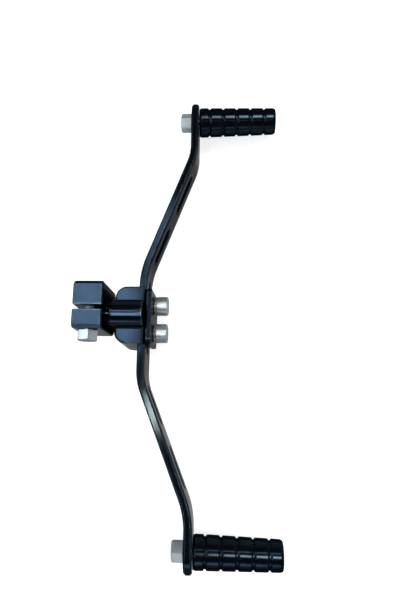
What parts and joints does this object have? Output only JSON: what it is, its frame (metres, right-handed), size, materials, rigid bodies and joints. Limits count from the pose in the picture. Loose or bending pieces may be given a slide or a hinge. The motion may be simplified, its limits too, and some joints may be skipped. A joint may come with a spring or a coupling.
{
  "type": "motorcycle gear shift lever",
  "caption": "Double-ended motorcycle gear shift lever: a split splined clamp hub carries a bent slotted arm with a grooved foot peg at each end.",
  "frame": {"origin": "on the shift shaft's axis, at the clamp's open inner face", "axes": "+X outward along the shift shaft and the pegs, +Y along the lever from the heel peg to the toe peg, +Z square to both, towards the clamp's ears"},
  "size_m": [0.1302, 0.3215, 0.0625],
  "materials": {
    "black_aluminium": "satin black anodised",
    "gloss_black_peg": "glossy black anodised",
    "zinc_steel": "zinc plated"
  },
  "bodies": {
    "root": {"hub_body": "black_aluminium", "lever_arm": "black_aluminium", "cover_plate": "black_aluminium", "toe_peg": "gloss_black_peg", "heel_peg": "gloss_black_peg", "upper_mount_screw": "zinc_steel", "lower_mount_screw": "zinc_steel", "upper_spring_washer": "zinc_steel", "lower_spring_washer": "zinc_steel", "toe_peg_bolt": "zinc_steel", "heel_peg_bolt": "zinc_steel", "pinch_bolt": "zinc_steel"}
  },
  "joints": []
}
